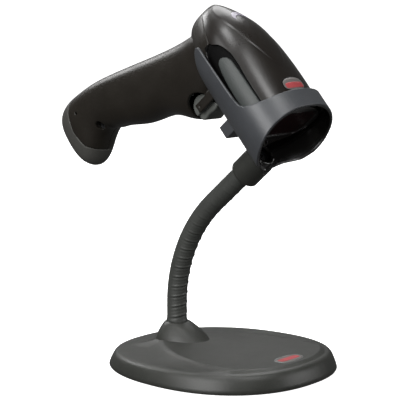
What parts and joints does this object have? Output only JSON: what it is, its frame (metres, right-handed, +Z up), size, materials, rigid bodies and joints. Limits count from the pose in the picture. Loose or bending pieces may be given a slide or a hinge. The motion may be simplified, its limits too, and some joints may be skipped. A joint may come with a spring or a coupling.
{
  "type": "handheld barcode scanner with gooseneck stand",
  "caption": "Pistol-grip handheld barcode scanner seated nose-first in a moulded cup on a bendable gooseneck with a weighted oval base.",
  "frame": {"origin": "on the table under the middle of the oval base", "axes": "+Z up, -Y the front, where the scanner's window faces and the base's badge is, +X to the scanner's left as seen from the front (right as seen from behind)"},
  "size_m": [0.1341, 0.2107, 0.2296],
  "materials": {
    "stand_plastic": "fine grained moulding, charcoal",
    "sleeve_rubber": "matte charcoal",
    "pad_rubber": "matte black",
    "steel": "zinc plated",
    "screw_steel": "black oxide",
    "magnet": "nickel plated",
    "cup_plastic": "satin blue-grey",
    "crown_plastic": "polished brown-black",
    "shell_plastic": "fine spark-eroded texture, near black",
    "end_plastic": "fine grained, dark grey",
    "bumper_rubber": "satin grey-green",
    "trigger_plastic": "satin grey-green",
    "badge_plate": "grey plate with a plain red bar",
    "window_glass": "dark red filter, polished",
    "lens_plastic": "milky, polished",
    "switch_plastic": "black moulding",
    "board": "green solder mask",
    "chip_plastic": "black epoxy",
    "die_casting": "as cast",
    "mirror_glass": "front coated",
    "brass": "turned"
  },
  "bodies": {
    "stand_base": {"base_cover": "stand_plastic", "base_floor": "stand_plastic", "base_weight": "steel", "base_pad": "pad_rubber", "base_badge": "badge_plate", "base_screws": "screw_steel", "neck_ferrule": "steel", "neck_nut": "steel", "neck_conduit_0": "steel", "neck_sleeve_0": "sleeve_rubber"},
    "neck_1": {"neck_conduit_1": "steel", "neck_sleeve_1": "sleeve_rubber"},
    "neck_2": {"neck_conduit_2": "steel", "neck_sleeve_2": "sleeve_rubber"},
    "neck_3": {"neck_conduit_3": "steel", "neck_sleeve_3": "sleeve_rubber"},
    "neck_4": {"neck_conduit_4": "steel", "neck_sleeve_4": "sleeve_rubber"},
    "holder": {"neck_conduit_5": "steel", "neck_sleeve_5": "sleeve_rubber", "neck_collar": "stand_plastic", "collar_screw": "screw_steel", "cup": "cup_plastic", "cup_magnet": "magnet"},
    "scanner": {"top_cover": "crown_plastic", "housing_left": "shell_plastic", "housing_right": "shell_plastic", "housing_screws": "screw_steel", "bumper_left": "bumper_rubber", "bumper_right": "bumper_rubber", "handle_end_cap": "end_plastic", "nose_bezel": "crown_plastic", "window": "window_glass", "led_lens": "lens_plastic", "head_badge": "badge_plate", "trigger_pin": "steel", "trigger_switch": "switch_plastic", "main_board": "board", "board_chips": "chip_plastic", "beeper": "switch_plastic", "cable_socket": "switch_plastic", "scan_frame": "die_casting", "laser_module": "brass", "collecting_mirror": "mirror_glass", "detector_board": "board"},
    "trigger_key": {"trigger": "trigger_plastic"},
    "mirror": {"scan_mirror": "mirror_glass"}
  },
  "joints": [
    {"name": "neck_bend_low", "type": "hinge", "parent": "stand_base", "child": "neck_1", "pos_m": [0, 0.038, 0.03576], "axis": [1, 0, 0], "range_deg": [-12, 12]},
    {"name": "neck_sway_low", "type": "hinge", "parent": "neck_1", "child": "neck_2", "pos_m": [0, 0.0359, 0.05529], "axis": [0, 0.9772, 0.2122], "range_deg": [-12, 12]},
    {"name": "neck_bend_middle", "type": "hinge", "parent": "neck_2", "child": "neck_3", "pos_m": [0, 0.02972, 0.07392], "axis": [1, 0, 0], "range_deg": [-12, 12]},
    {"name": "neck_sway_high", "type": "hinge", "parent": "neck_3", "child": "neck_4", "pos_m": [0, 0.01971, 0.09081], "axis": [0, 0.8013, 0.5983], "range_deg": [-12, 12]},
    {"name": "neck_bend_high", "type": "hinge", "parent": "neck_4", "child": "holder", "pos_m": [0, 0.00636, 0.1052], "axis": [1, 0, 0], "range_deg": [-12, 12]},
    {"name": "scanner_lift", "type": "slide", "parent": "holder", "child": "scanner", "axis": [0, 0.6561, 0.7547], "range_m": [0, 0.11]},
    {"name": "trigger_press", "type": "hinge", "parent": "scanner", "child": "trigger_key", "pos_m": [0, 0.00717, 0.16677], "axis": [1, 0, 0], "range_deg": [0, 8], "stiffness_Nm_per_rad": 0.15, "springref_deg": -8.59},
    {"name": "mirror_sweep", "type": "hinge", "parent": "scanner", "child": "mirror", "pos_m": [0, -0.01252, 0.19899], "axis": [0, -0.7547, 0.6561], "range_deg": [-12, 12], "stiffness_Nm_per_rad": 0.002}
  ],
  "couplings": [
    {"joint": "neck_bend_middle", "follows": "neck_bend_low", "ratio": 1},
    {"joint": "neck_bend_high", "follows": "neck_bend_low", "ratio": 1},
    {"joint": "neck_sway_high", "follows": "neck_sway_low", "ratio": 1}
  ]
}
